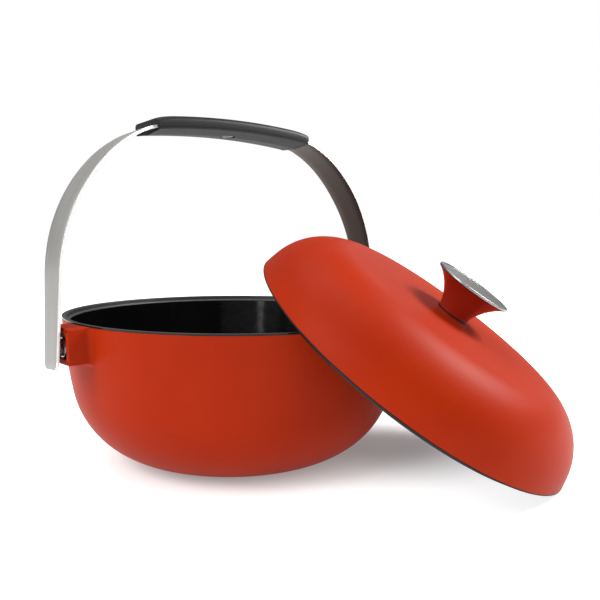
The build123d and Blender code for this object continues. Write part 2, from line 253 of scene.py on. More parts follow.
class Finish:
    """A material with one method that adds its nodes."""

    def __init__(self, name, **constants):
        self.material = bpy.data.materials.new(name)
        self.material.use_nodes = True
        self.tree = self.material.node_tree
        self.shader = self.tree.nodes["Principled BSDF"]
        for key, value in constants.items():
            self.shader.inputs[key.replace("_", " ")].default_value = value

    def node(self, kind, settings=None, inputs=None):
        made = self.tree.nodes.new(kind)
        for key, value in (settings or {}).items():
            setattr(made, key, value)
        for key, value in (inputs or {}).items():
            self.feed(made.inputs[key], value)
        return made

    def feed(self, socket, value):
        if isinstance(value, Wire):
            self.tree.links.new(value.socket, socket)
        elif socket.type == "RGBA" and len(value) == 3:
            socket.default_value = (*value, 1)
        else:
            socket.default_value = value

    def sum(self, operation, *values):
        inputs = dict(enumerate(values))
        return Wire(self, self.node("ShaderNodeMath", {"operation": operation}, inputs).outputs[0])

    def place(self, origin=(0, 0, 0), turn=(0, 0, 0), stretch=(1, 1, 1)):
        """Object coordinates seen from a piece's own frame, then stretched."""
        held = Wire(self, self.node("ShaderNodeTexCoord").outputs["Object"])
        inputs = {"Vector": held, "Location": origin, "Rotation": turn}
        own = self.node("ShaderNodeMapping", {"vector_type": "TEXTURE"}, inputs)
        own = Wire(self, own.outputs[0])
        if tuple(stretch) == (1, 1, 1):
            return own
        scaled = self.node(
            "ShaderNodeVectorMath", {"operation": "MULTIPLY"}, {0: own, 1: stretch}
        )
        return Wire(self, scaled.outputs[0])

    def noise(self, where, scale, detail=2.0, rough=0.5):
        inputs = {"Vector": where, "Scale": scale, "Detail": detail, "Roughness": rough}
        return Wire(self, self.node("ShaderNodeTexNoise", None, inputs).outputs["Fac"])

    def axes(self, where):
        out = self.node("ShaderNodeSeparateXYZ", None, {0: where}).outputs
        return [Wire(self, s) for s in out]

    def radius(self, where):
        """Distance from the Z axis."""
        x, y, _ = self.axes(where)
        return (x * x + y * y) ** 0.5

    def ramp(self, value, low, high):
        inputs = {"Value": value, "From Min": low, "From Max": high}
        made = self.node("ShaderNodeMapRange", {"interpolation_type": "SMOOTHSTEP"}, inputs)
        return Wire(self, made.outputs[0])

    def blend(self, factor, first, second):
        made = self.node("ShaderNodeMix", {"data_type": "RGBA"})
        for index, value in ((0, factor), (6, first), (7, second)):
            self.feed(made.inputs[index], value)
        return Wire(self, made.outputs[2])

    def bump(self, height, strength, distance, under=None):
        inputs = {"Height": height, "Strength": strength, "Distance": distance}
        if under is not None:
            inputs["Normal"] = under
        return Wire(self, self.node("ShaderNodeBump", None, inputs).outputs[0])

    def paint(self, **inputs):
        for key, value in inputs.items():
            self.feed(self.shader.inputs[key.replace("_", " ")], value)
        return self.material


def shade(tone, share):
    return tuple(part * share for part in tone)


def lid_matrix(lid):
    """The lid's own frame: its axis leans over and its rim touches the table."""
    lean, rise = sin(lid.tilt), cos(lid.tilt)
    east, north = cos(lid.heading), sin(lid.heading)
    axis = Vector((lean * east, lean * north, rise))
    across = Vector((rise * east, rise * north, -lean))
    beside = axis.cross(across)
    turn = Matrix((across, beside, axis)).transposed().to_4x4()
    rim_cut = 0.3 * MM
    return Matrix.Translation((lid.x, lid.y, (lid.radius - rim_cut) * lean)) @ turn


def bail_matrix(bail):
    """Leans the upright bail over about its pivots."""
    lift = Matrix.Translation((0, 0, bail.pivot))
    return lift @ Matrix.Rotation(bail.tilt, 4, "X") @ lift.inverted()


def red_enamel(name, finishes, edge_height, origin=(0, 0, 0), turn=(0, 0, 0), above=True):
    """Matt cast-iron enamel with a fine orange peel, left dark along the edge."""
    made = Finish(name, IOR=1.5, Specular_IOR_Level=0.05)
    where = made.place(origin, turn)
    height = made.axes(where)[2]
    drift = made.noise(where, 14.0, 3.0)
    grain = made.noise(where, 1900.0, 2.0, 0.6)
    peel = made.noise(where, 620.0, 3.0, 0.55)
    wave = made.noise(where, 55.0, 2.0)
    tone = made.ramp(drift * 0.75 + grain * 0.25, 0.30, 0.70)
    body = made.blend(tone, finishes.red_deep, finishes.red)
    waver = height + (wave - 0.5) * (0.5 * MM)
    steep, soft = 0.12 * MM, 0.18 * MM
    if above:
        dark = 1.0 - made.ramp(waver, edge_height - steep, edge_height + soft)
    else:
        rim, past_rim = 120.3 * MM, 121.0 * MM
        near = 1.0 - made.ramp(made.radius(where), rim, past_rim)
        dark = near * made.ramp(waver, edge_height - soft, edge_height + steep)
    skin = made.bump(peel, 0.55, 0.16 * MM)
    skin = made.bump(grain, 0.35, 0.05 * MM, skin)
    return made.paint(
        Base_Color=made.blend(dark, body, finishes.edge),
        Roughness=0.43 + grain * 0.08 - dark * 0.05,
        Normal=skin,
    )


def black_enamel(name, finishes, rough=0.10):
    """Glossy black enamel with faint waves from the casting under it."""
    made = Finish(name, IOR=1.5, Specular_IOR_Level=0.28)
    where = made.place()
    wave = made.noise(where, 90.0, 3.0)
    pits = made.noise(where, 700.0, 2.0)
    skin = made.bump(wave, 0.35, 0.25 * MM)
    skin = made.bump(pits, 0.25, 0.05 * MM, skin)
    return made.paint(
        Base_Color=made.blend(wave, finishes.black, shade(finishes.black, 1.6)),
        Roughness=rough + made.ramp(pits, 0.45, 0.75) * 0.10,
        Normal=skin,
    )


def bare_edge(name, finishes, seat_radius):
    """The ground edge of the casting, dark and slightly worn, paler on its step."""
    made = Finish(name, IOR=1.5)
    where = made.place()
    wear = made.noise(where, 260.0, 4.0, 0.6)
    inner = 1.0 - made.ramp(made.radius(where), seat_radius - 0.4 * MM, seat_radius + 0.2 * MM)
    pale = made.blend(inner * 0.8 + wear * 0.2, finishes.edge, (0.055, 0.053, 0.050))
    return made.paint(
        Base_Color=pale,
        Roughness=0.36 + wear * 0.25,
        Normal=made.bump(wear, 0.4, 0.08 * MM),
    )


def brushed_steel(name, finishes, turn=(0, 0, 0)):
    """Steel brushed along its length, with painted shade darkening it towards the feet."""
    made = Finish(name, Metallic=1.0)
    fine = made.noise(made.place(turn=turn, stretch=(22.0, 5200.0, 22.0)), 1.0, 3.0, 0.6)
    broad = made.noise(made.place(turn=turn, stretch=(9.0, 700.0, 9.0)), 1.0, 2.0)
    cloud = made.noise(made.place(turn=turn), 45.0, 2.0)
    line = made.ramp(fine * 0.7 + broad * 0.3, 0.30, 0.72)
    height = made.axes(made.place())[2]
    # Painted shade: the base colour darkens towards the strap's feet.
    painted_shade_by_height = made.ramp(height, 0.06, 0.19) * 0.75 + 0.25
    tone = (line * 0.40 + cloud * 0.10 + 0.50) * painted_shade_by_height
    return made.paint(
        Base_Color=made.blend(tone, shade(finishes.steel, 0.60), finishes.steel),
        Roughness=0.40 + line * 0.12,
        Normal=made.bump(line, 0.25, 0.02 * MM),
    )


def turned_steel(name, finishes, origin, turn):
    """Steel turned on a lathe, with rings about the piece's own axis."""
    made = Finish(name, Metallic=1.0)
    radius = made.radius(made.place(origin, turn))
    ring = made.node("ShaderNodeCombineXYZ", None, {0: radius * 4200.0, 1: 0.0, 2: 0.0})
    lines = made.noise(Wire(made, ring.outputs[0]), 1.0, 2.0, 0.6)
    return made.paint(
        Base_Color=made.blend(lines, shade(finishes.disc, 0.86), finishes.disc),
        Roughness=0.26 + lines * 0.12,
        Normal=made.bump(lines, 0.25, 0.015 * MM),
    )


def inner_shade_steel(name, finishes, turn=(0, 0, 0)):
    """The strap's inner side, duller, its dark brownish colour painting the shade and dark reflection
    that side shows.
    """
    made = Finish(name, Metallic=0.9)
    fine = made.noise(made.place(turn=turn, stretch=(30.0, 2600.0, 30.0)), 1.0, 3.0, 0.6)
    cloud = made.noise(made.place(turn=turn), 60.0, 3.0)
    tone = fine * 0.6 + cloud * 0.4
    return made.paint(
        Base_Color=made.blend(tone, finishes.inner_shade, shade(finishes.inner_shade, 0.65)),
        Roughness=0.42 + fine * 0.14,
        Normal=made.bump(fine, 0.25, 0.02 * MM),
    )


def painted_highlight_edge(name, finishes):
    """The strap's cut edges, given a pale colour that paints their highlight."""
    made = Finish(name, Metallic=0.75)
    marks = made.noise(made.place(), 700.0, 3.0)
    return made.paint(
        Base_Color=made.blend(marks, shade(finishes.cut, 0.9), finishes.cut),
        Roughness=0.48 + marks * 0.12,
        Normal=made.bump(marks, 0.12, 0.02 * MM),
    )


def plain_steel(name, finishes):
    """Bright steel of small turned parts, with light handling marks."""
    made = Finish(name, Metallic=1.0)
    marks = made.noise(made.place(stretch=(1.0, 3.0, 3.0)), 900.0, 3.0)
    bright = (0.66, 0.66, 0.65)
    return made.paint(
        Base_Color=made.blend(marks, shade(finishes.steel, 0.85), bright),
        Roughness=0.20 + marks * 0.15,
        Normal=made.bump(marks, 0.15, 0.02 * MM),
    )


def blacked_steel(name, finishes):
    """Blacked screw head, rubbed a little on its edges."""
    made = Finish(name, Metallic=0.6)
    rubbed = made.noise(made.place(), 1300.0, 3.0, 0.6)
    return made.paint(
        Base_Color=made.blend(rubbed, finishes.edge, shade(finishes.edge, 2.5)),
        Roughness=0.34 + rubbed * 0.2,
        Normal=made.bump(rubbed, 0.2, 0.02 * MM),
    )


def moulding(name, tone, rough, bump=0.35):
    """Moulded phenolic with the fine skin of its tool."""
    made = Finish(name, IOR=1.5, Specular_IOR_Level=0.2)
    where = made.place()
    cloud = made.noise(where, 60.0, 2.0)
    skin = made.noise(where, 1700.0, 2.0, 0.5)
    return made.paint(
        Base_Color=made.blend(cloud, tone, shade(tone, 1.25)),
        Roughness=rough + skin * 0.10,
        Normal=made.bump(skin, bump, 0.04 * MM),
    )


def moulded_red(name, finishes):
    """Glossy red moulding of the knob, a little darker than the enamel."""
    made = Finish(name, IOR=1.5)
    where = made.place()
    cloud = made.noise(where, 70.0, 2.0)
    skin = made.noise(where, 1500.0, 2.0, 0.5)
    return made.paint(
        Base_Color=made.blend(cloud, finishes.knob_red, shade(finishes.knob_red, 1.2)),
        Roughness=0.16 + skin * 0.06,
        Normal=made.bump(skin, 0.2, 0.02 * MM),
    )


def bronze(name, finishes):
    """Oil-darkened bearing bronze."""
    made = Finish(name, Metallic=0.85)
    spots = made.noise(made.place(), 800.0, 4.0, 0.6)
    return made.paint(
        Base_Color=made.blend(spots, finishes.bronze, shade(finishes.bronze, 0.55)),
        Roughness=0.35 + spots * 0.2,
        Normal=made.bump(spots, 0.2, 0.03 * MM),
    )


def floor_paint(name):
    """Plain pale floor that glows, its glow lowered close under the pot and the lid as painted shadow."""
    made = Finish(name, Specular_IOR_Level=0.0, Emission_Strength=1.0)
    where = made.place()
    under_pot = made.radius(where)
    under_lid = made.radius(made.place(origin=(*LID_SHADE, 0)))
    # near is painted shadow: it dims the floor's glow close under the pot and the lid.
    near = made.ramp(under_pot, 0.05, 0.12) * made.ramp(under_lid, 0.03, 0.13)
    glow_outside_painted_shadow = near * 0.75 + made.ramp(under_pot, 0.20, 0.9) * 0.25
    mottle = made.noise(where, 3.0, 2.0)
    grey, white = (0.58, 0.58, 0.58), (0.60, 0.60, 0.60)
    return made.paint(
        Base_Color=made.blend(mottle, grey, white),
        Emission_Color=made.blend(glow_outside_painted_shadow, (0.22, 0.22, 0.22), (1, 1, 1)),
        Roughness=0.85,
    )


# ------------------------------------------------------------ modelling


class Outline:
    """A half outline in the XZ plane, drawn by extruding and spinning its tip."""

    def __init__(self, x, z):
        self.mesh = bmesh.new()
        self.tip = self.mesh.verts.new((x, 0, z))
        self.first = self.tip.co.copy()

    def line(self, x, z, steps=1):
        start, end = self.tip.co.copy(), Vector((x, 0, z))
        for step in range(1, steps + 1):
            made = bmesh.ops.extrude_vert_indiv(self.mesh, verts=[self.tip])
            self.tip = made["verts"][0]
            self.tip.co = start.lerp(end, step / steps)

    def arc(self, x, z, turn, steps):
        """Turns the tip about a centre, positive from +X towards +Z."""
        made = bmesh.ops.spin(
            self.mesh,
            geom=[self.tip],
            cent=(x, 0, z),
            axis=(0, -1, 0),
            angle=turn,
            steps=steps,
            use_merge=False,
        )
        self.tip = [v for v in made["geom_last"] if isinstance(v, bmesh.types.BMVert)][0]

    def through(self, mid, end, steps):
        """An arc from the tip through one point to another."""
        start_x, start_z = self.tip.co.x, self.tip.co.z
        mid_x, mid_z = mid[0] - start_x, mid[1] - start_z
        end_x, end_z = end[0] - start_x, end[1] - start_z
        mid_far, end_far = mid_x**2 + mid_z**2, end_x**2 + end_z**2
        area = 2 * (mid_x * end_z - mid_z * end_x)
        x = (end_z * mid_far - mid_z * end_far) / area
        z = (mid_x * end_far - end_x * mid_far) / area
        turn = atan2(end_z - z, end_x - x) - atan2(-z, -x)
        turn = (turn + pi) % (2 * pi) - pi
        self.arc(start_x + x, start_z + z, turn, steps)

    def round(self, corners, steps=4):
        """Runs through corners of (x, z, rounding); the last is where it ends."""
        for (x, z, r), after in zip(corners, corners[1:]):
            corner = Vector((x, 0, z))
            back = (self.tip.co - corner).normalized()
            onward = (Vector((after[0], 0, after[1])) - corner).normalized()
            if r <= 0:
                self.line(x, z)
                continue
            half = back.angle(onward) / 2
            start = corner + back * (r / tan(half))
            centre = corner + (back + onward).normalized() * (r / sin(half))
            self.line(start.x, start.z)
            side = -back.x * onward.z + back.z * onward.x
            turn = pi - 2 * half
            self.arc(centre.x, centre.z, turn if side > 0 else -turn, steps)
        self.line(corners[-1][0], corners[-1][1])

    def turned(self, steps):
        """The outline taken right round the Z axis."""
        mesh = self.mesh
        bmesh.ops.spin(
            mesh,
            geom=mesh.verts[:] + mesh.edges[:],
            cent=(0, 0, 0),
            axis=(0, 0, 1),
            angle=2 * pi,
            steps=steps,
            use_merge=True,
        )
        tidy(mesh)
        return mesh


def tidy(mesh):
    """Merges what coincides and turns every face outwards."""
    bmesh.ops.remove_doubles(mesh, verts=mesh.verts, dist=MERGE)
    bmesh.ops.dissolve_degenerate(mesh, edges=mesh.edges, dist=MERGE)
    bmesh.ops.recalc_face_normals(mesh, faces=mesh.faces)
    if mesh.calc_volume(signed=True) < 0:
        bmesh.ops.reverse_faces(mesh, faces=mesh.faces)
    mesh.normal_update()


def bevelled(mesh, edges, width, segments):
    bmesh.ops.bevel(
        mesh,
        geom=edges,
        offset=width,
        offset_type="OFFSET",
        affect="EDGES",
        segments=segments,
        profile=0.5,
        material=-1,
        clamp_overlap=True,
    )


def ends_of(ring):
    """The points of a ring of edges, each once and in a fixed order."""
    return list(dict.fromkeys(vert for edge in ring for vert in edge.verts))


def open_edges(geometry):
    return [g for g in geometry if isinstance(g, bmesh.types.BMEdge) and g.is_boundary]


def bends(edge, past):
    """Whether an edge's two faces meet at more than so many degrees."""
    return len(edge.link_faces) == 2 and edge.calc_face_angle(0) > radians(past)


def finished(name, mesh, body, materials, nodes, matrix=None):
    """Makes the object of a mesh, with its finish, its body and the nodes it stands for."""
    if matrix is not None:
        bmesh.ops.transform(mesh, matrix=matrix, verts=mesh.verts)
    for face in mesh.faces:
        face.smooth = True
    for edge in mesh.edges:
        if bends(edge, CREASE):
            edge.smooth = False
    data = bpy.data.meshes.new(name)
    mesh.to_mesh(data)
    mesh.free()
    made = bpy.data.objects.new(name, data)
    bpy.context.scene.collection.objects.link(made)
    for material in materials:
        data.materials.append(material)
    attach(made, body)
    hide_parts(*nodes)


def coat(material, slot, *nodes):
    """Gives carried-over nodes a finish."""
    for node in nodes:
        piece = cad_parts[node]
        if not piece.data.materials:
            piece.data.materials.append(material)
        for place in piece.material_slots:
            place.material = material


def wall_arcs(pot):
    """Centres of the side's and the knee's arcs."""
    side_x = pot.rim_radius - pot.side_radius * cos(pot.rim_lean)
    side_z = pot.height + pot.side_radius * sin(pot.rim_lean)
    reach = pot.side_radius - pot.knee_radius
    knee_x = side_x + reach * cos(pot.knee_lean)
    knee_z = side_z - reach * sin(pot.knee_lean)
    return side_x, side_z, knee_x, knee_z


def wall_at(pot, z):
    """The side's outer radius at a height."""
    side_x, side_z, _, _ = wall_arcs(pot)
    return side_x + sqrt(pot.side_radius**2 - (z - side_z) ** 2)


def run_of(edge):
    return edge.verts[1].co - edge.verts[0].co


# Radius, turn and steps of the strap's arcs, from its top down to the straight leg.
STRAP_TURNS = (
    (572.0 * MM, radians(6.0), 12),
    (50.2 * MM, radians(18.0), 10),
    (89.5 * MM, radians(20.0), 14),
    (113.2 * MM, radians(42.0), 26),
)


def leg_heading():
    """Which way the strap's leg runs after its last arc."""
    turned = sum(turn for _, turn, _ in STRAP_TURNS)
    return Vector((cos(turned), 0, -sin(turned)))


def along_bail(mesh, ring, bail, turns):
    """Spins a section down one side of the bail through tangent arcs."""
    here, turned = Vector((0, 0, bail.top)), 0.0
    for radius, turn, steps in turns:
        side = Vector((-sin(turned), 0, -cos(turned)))
        centre = here + side * radius
        made = bmesh.ops.spin(
            mesh,
            geom=ends_of(ring) + ring,
            cent=centre,
            axis=(0, 1, 0),
            angle=turn,
            steps=steps,
            use_merge=False,
        )
        ring = open_edges(made["geom_last"])
        turned += turn
        here = centre - Vector((-sin(turned), 0, -cos(turned))) * radius
    return ring, here


def mirrored(mesh):
    """Adds the other side of a half that starts on the YZ plane."""
    bmesh.ops.mirror(
        mesh,
        geom=mesh.verts[:] + mesh.edges[:] + mesh.faces[:],
        matrix=Matrix.Identity(4),
        merge_dist=MERGE,
        axis="X",
    )
    tidy(mesh)


def frame_height(node, own):
    """How far a node reaches along a piece's own axis."""
    back = own.inverted()
    return max((back @ v.co).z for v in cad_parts[node].data.vertices)


# Name, place, aim, size and power of each lamp.
LAMPS = (
    ("left", (-1.45, 0.05, 1.10), (0, 0, 0.06), (0.9, 0.9), 23.0),
    ("right", (1.30, -0.62, 1.10), (0.10, -0.08, 0.08), (0.7, 0.7), 46.0),
    ("overhead", (-0.1, 0.25, 1.7), (0, 0, 0), (1.2, 1.2), 15.0),
    ("back", (1.5, 0.9, 0.65), (0.1, 0, 0.1), (0.8, 0.5), 1.0),
    ("strip", (-1.25, -0.80, 0.30), (0, 0, 0.15), (0.12, 0.9), 1.0),
)


# ------------------------------------------------------------ operators


class OVEN_OT_pot(Operator):
    """Casts the pot with its stepped rim and its two hollow lugs"""

    bl_idname = "oven.pot"
    bl_label = "Pot"

    def execute(self, context):
        scene = context.scene
        pot, lug = scene.oven_pot, scene.oven_lug
        side_x, side_z, knee_x, knee_z = wall_arcs(pot)
        rise = pot.knee_radius - knee_z
        side_z, knee_z = side_z + rise, knee_z + rise
        shape = Outline(0, 0)
        shape.line(knee_x, 0, 10)
        shape.arc(knee_x, knee_z, pi / 2 - pot.knee_lean, 28)
        shape.arc(side_x, side_z, pot.knee_lean - pot.rim_lean, 12)
        seat = pot.height - pot.seat_deep
        inner = pot.side_radius - pot.wall
        throat = seat - 1.2 * MM
        throat_x = side_x + sqrt(inner**2 - (throat - side_z) ** 2)
        shape.round(
            [
                (pot.rim_radius, pot.height, 0.7 * MM),
                (pot.seat_radius, pot.height, 0.5 * MM),
                (pot.seat_radius, seat, 0.4 * MM),
                (pot.throat_radius, seat, 0.7 * MM),
                (throat_x, throat, 0),
            ]
        )
        lean = atan2(side_z - throat, throat_x - side_x)
        shape.arc(side_x, side_z, -(pot.knee_lean - lean), 12)
        shape.arc(knee_x, knee_z, -(pi / 2 - pot.knee_lean), 28)
        shape.line(0, pot.wall, 10)
        mesh = shape.turned(scene.oven_stage.rounds)
        for face in mesh.faces:
            middle = face.calc_center_median()
            radius = middle.xy.length
            outward = face.normal.dot(Vector((middle.x, middle.y, middle.z - pot.height)))
            in_rim = middle.z > seat - 1.3 * MM and radius > pot.throat_radius - 0.6 * MM
            if in_rim and radius < wall_at(pot, middle.z) - 0.1 * MM:
                face.material_index = 1
            else:
                face.material_index = 0 if outward > 0 else 2
        for side in (1, -1):
            self.lug(mesh, pot, lug, side)
        finishes = scene.oven_finishes
        coats = [
            red_enamel("red_enamel_pot", finishes, pot.height - pot.dark_edge, above=False),
            bare_edge("bare_edge", finishes, pot.seat_radius),
            black_enamel("black_enamel_pot", finishes, 0.09),
        ]
        finished("pot_casting", mesh, "pot", coats, ["pot_body"])
        return {"FINISHED"}

    def lug(self, mesh, pot, lug, side):
        """A hollow box on one side, its pocket open outwards and its root rounded."""
        box = bmesh.new()
        bmesh.ops.create_cube(box, size=1)
        root = pot.rim_radius + 1.6 * MM
        for vert in box.verts:
            top = vert.co.z > 0
            face_x = lug.reach - (0 if top else lug.slope)
            vert.co = Vector(
                (
                    -face_x if vert.co.x < 0 else -root,
                    lug.width / 2 * (1 if vert.co.y > 0 else -1),
                    lug.high if top else lug.low,
                )
            )
        box.normal_update()
        back = [f for f in box.faces if f.normal.x > 0.5]
        bmesh.ops.delete(box, geom=back, context="FACES_ONLY")
        outwards = [e for e in box.edges if abs(run_of(e).x) > 3 * MM]
        bevelled(box, outwards, lug.round, 5)
        box.normal_update()
        mouth = min(box.faces, key=lambda f: f.calc_center_median().x)
        bmesh.ops.inset_region(box, faces=[mouth], thickness=lug.wall, depth=0)
        pocket = bmesh.ops.extrude_discrete_faces(box, faces=[mouth])["faces"][0]
        for vert in pocket.verts:
            vert.co.x = -lug.floor
        sides = [e for e in open_edges(box.edges) if e.calc_length() > 3 * MM]
        bmesh.ops.subdivide_edges(box, edges=sides, cuts=8)
        ring = open_edges(box.edges)
        base = box.verts.layers.float_vector.new("base")
        way = box.verts.layers.float_vector.new("way")
        middle_z = (lug.low + lug.high) / 2
        for vert in ends_of(ring):
            vert[base] = (0, vert.co.y, vert.co.z)
            flat = [
                value - max(-limit, min(limit, value))
                for value, limit in (
                    (vert.co.y, lug.width / 2 - lug.round),
                    (vert.co.z - middle_z, (lug.high - lug.low) / 2 - lug.round),
                )
            ]
            vert[way] = Vector((0, *flat)).normalized()
            vert.co.x = -sqrt(wall_at(pot, vert.co.z) ** 2 - vert.co.y**2) - lug.root
        steps = 7
        for step in range(1, steps + 2):
            ring = open_edges(bmesh.ops.extrude_edge_only(box, edges=ring)["geom"])
            bend = min(step, steps) / steps * pi / 2
            for vert in ends_of(ring):
                spot = vert[base] + vert[way] * (lug.root * (1 - cos(bend)))
                spot.z = min(spot.z, lug.high + 0.1 * MM)
                surface = -sqrt(wall_at(pot, spot.z) ** 2 - spot.y**2)
                sunk = 1.2 * MM if step > steps else 0.06 * MM * step / steps
                vert.co = Vector((surface - lug.root * (1 - sin(bend)) + sunk, spot.y, spot.z))
        bmesh.ops.contextual_create(box, geom=ring)
        box.verts.layers.float_vector.remove(base)
        box.verts.layers.float_vector.remove(box.verts.layers.float_vector["way"])
        tidy(box)
        lip = [
            e
            for e in box.edges
            if bends(e, SHARP)
            and max(v.co.x for v in e.verts) < -lug.reach + 2 * MM
        ]
        bevelled(box, lip, 0.9 * MM, 3)
        if side < 0:
            bmesh.ops.scale(box, vec=(-1, 1, 1), verts=box.verts)
            bmesh.ops.reverse_faces(box, faces=box.faces)
        holder = bpy.data.meshes.new("lug_join")
        box.to_mesh(holder)
        box.free()
        mesh.from_mesh(holder)
        bpy.data.meshes.remove(holder)


class OVEN_OT_bail(Operator):
    """Bends the steel strap of the bail"""

    bl_idname = "oven.bail"
    bl_label = "Bail Strap"

    def execute(self, context):
        scene = context.scene
        bail = scene.oven_bail
        mesh = bmesh.new()
        bmesh.ops.create_grid(mesh, x_segments=1, y_segments=4, size=0.5)
        for vert in mesh.verts:
            depth = (0.5 - vert.co.x) * bail.thick
            vert.co = Vector((0, vert.co.y * bail.wide_high, bail.top - depth))
        inner = [e for e in mesh.edges if not e.is_boundary]
        bmesh.ops.delete(mesh, geom=inner, context="EDGES_FACES")
        ring, _ = along_bail(mesh, mesh.edges[:], bail, STRAP_TURNS)
        steps = 12
        drop = leg_heading() * (bail.leg / steps)
        for _ in range(steps):
            ring = open_edges(bmesh.ops.extrude_edge_only(mesh, edges=ring)["geom"])
            bmesh.ops.translate(mesh, vec=drop, verts=ends_of(ring))
        bmesh.ops.contextual_create(mesh, geom=ring)
        spread = bail.wide_high - bail.wide_low
        for vert in mesh.verts:
            share = min(1.0, (vert.co.z - STRAP_LOW.z) / (bail.wide_from - STRAP_LOW.z))
            vert.co.y *= (bail.wide_low + spread * share) / bail.wide_high
        mirrored(mesh)
        corners = [
            e
            for e in mesh.edges
            if e.verts[0].co.z < STRAP_LOW.z + 4 * MM
            and abs(run_of(e).y) < 0.1 * MM
            and abs(run_of(e).z) < 1.2 * MM
            and abs(abs(e.verts[0].co.y) - bail.wide_low / 2) < 0.5 * MM
            and bends(e, SHARP)
        ]
        bevelled(mesh, corners, bail.foot_round, 6)
        bevelled(mesh, [e for e in mesh.edges if bends(e, SHARP)], bail.edge_round, 2)
        mesh.normal_update()
        for face in mesh.faces:
            middle = face.calc_center_median()
            inwards = Vector((-middle.x, 0, bail.pivot - middle.z)).normalized()
            # Edge faces take the pale steel that paints their highlight.
            if abs(face.normal.y) > 0.55:
                face.material_index = 2
            else:
                # Inner faces take the darker steel that paints their shade and dark reflection.
                face.material_index = 1 if face.normal.dot(inwards) > 0.75 else 0
        finishes, lean = scene.oven_finishes, (bail.tilt, 0, 0)
        coats = [
            brushed_steel("brushed_steel", finishes, lean),
            inner_shade_steel("inner_steel_painted_shade", finishes, lean),
            painted_highlight_edge("edge_steel_painted_highlight", finishes),
        ]
        own = bail_matrix(bail)
        finished("bail_ribbon", mesh, "bail", coats, ["bail_strap"], own)
        return {"FINISHED"}


class OVEN_OT_grip(Operator):
    """Moulds the grip's upper shell round the top of the strap"""

    bl_idname = "oven.grip"
    bl_label = "Grip"

    def execute(self, context):
        scene = context.scene
        bail, grip = scene.oven_bail, scene.oven_grip
        side, slot = grip.width / 2, bail.wide_high / 2 + SNUG
        low, high = bail.top - bail.thick, bail.top + grip.over
        seam = 0.3 * MM
        shape = Outline(-slot, low)
        shape.round(
            [
                (-side, low, seam),
                (-side, high, grip.round),
                (side, high, grip.round),
                (side, low, seam),
                (slot, low, 0),
            ],
            6,
        )
        shape.line(slot, bail.top + SNUG)
        shape.line(-slot, bail.top + SNUG)
        shape.line(-slot, low)
        mesh = shape.mesh
        outer = mesh.verts.layers.int.new("outer")
        for vert in mesh.verts:
            inside = abs(vert.co.x) < slot + 0.01 * MM and vert.co.z < bail.top + 2 * SNUG
            vert[outer] = 0 if inside else 2 if vert.co.z > bail.top + MM else 1
        bmesh.ops.remove_doubles(mesh, verts=mesh.verts, dist=0.001 * MM)
        quarter = Matrix.Rotation(pi / 2, 3, "Z")
        bmesh.ops.rotate(mesh, cent=(0, 0, 0), matrix=quarter, verts=mesh.verts)
        turns = ((*STRAP_TURNS[0][:2], 30), (STRAP_TURNS[1][0], grip.end_turn, 8))
        ring, tip = along_bail(mesh, mesh.edges[:], bail, turns)
        for vert in mesh.verts:
            near = max(0.0, 1 - (tip.x - vert.co.x) / grip.end_fall)
            if vert[outer] == 2:
                vert.co -= Vector((0.25, 0, 1)) * (grip.end_drop * near**2)
        bmesh.ops.contextual_create(mesh, geom=ring)
        mirrored(mesh)
        rims = [
            e
            for e in mesh.edges
            if all(v[outer] for v in e.verts)
            and any(len(f.verts) > 8 for f in e.link_faces)
            and bends(e, 60)
        ]
        bevelled(mesh, rims, grip.end_round, 4)
        mesh.verts.layers.int.remove(mesh.verts.layers.int["outer"])
        coats = [moulding("grip_black", scene.oven_finishes.grip, 0.42)]
        own = bail_matrix(bail)
        finished("grip_upper", mesh, "bail", coats, ["grip_shell"], own)
        return {"FINISHED"}


class OVEN_OT_lid(Operator):
    """Casts the domed lid with its locating lip"""

    bl_idname = "oven.lid"
    bl_label = "Lid"

    def execute(self, context):
        scene = context.scene
        lid = scene.oven_lid
        arm = lid.shoulder
        shoulder_x = lid.radius - lid.wall_top * tan(lid.lean) - arm * cos(lid.lean)
        shoulder_z = lid.wall_top - arm * sin(lid.lean)
        rise = shoulder_z - lid.height + arm
        crown = (arm**2 - shoulder_x**2 - (shoulder_z - lid.height) ** 2) / (2 * rise)
        crown_z = lid.height - crown
        meet = atan2(shoulder_z - crown_z, shoulder_x)
        lip_root = lid.lip_inner + 3.4 * MM
        inner = arm - lid.thick
        root_turn = atan2(sqrt(inner**2 - (lip_root - shoulder_x) ** 2), lip_root - shoulder_x)
        hole_turn = acos(lid.hole / crown)
        under = crown - lid.thick
        hole_under = acos(lid.hole / under)
        shape = Outline(under * cos(hole_under), crown_z + under * sin(hole_under))
        shape.arc(0, crown_z, meet - hole_under, 22)
        shape.arc(shoulder_x, shoulder_z, root_turn - meet, 22)
        shape.round(
            [
                (lid.lip_inner, 1.5 * MM, 0.8 * MM),
                (lid.lip_inner, -lid.lip_deep, 0.6 * MM),
                (lid.lip_radius, -lid.lip_deep, 0.6 * MM),
                (lid.lip_radius, 0, 0.4 * MM),
                (lid.radius, 0, 0.45 * MM),
                (lid.radius - lid.wall_top * tan(lid.lean), lid.wall_top, 0),
            ]
        )
        shape.arc(shoulder_x, shoulder_z, meet - lid.lean, 26)
        shape.arc(0, crown_z, hole_turn - meet, 24)
        shape.line(shape.first.x, shape.first.z, 2)
        mesh = shape.turned(scene.oven_stage.rounds)
        for face in mesh.faces:
            middle = face.calc_center_median()
            outward = face.normal.dot(Vector((middle.x, middle.y, middle.z + lid.height)))
            outside = outward > 0 and middle.z > 0.01 * MM
            face.material_index = 0 if outside and middle.xy.length > lid.hole * 1.05 else 1
        own = lid_matrix(lid)
        finishes, held = scene.oven_finishes, (own.translation, own.to_euler())
        coats = [
            red_enamel("red_enamel_lid", finishes, lid.dark_edge, *held),
            black_enamel("black_enamel_lid", finishes, 0.16),
        ]
        finished("lid_casting", mesh, "lid", coats, ["lid_body"], own)
        return {"FINISHED"}


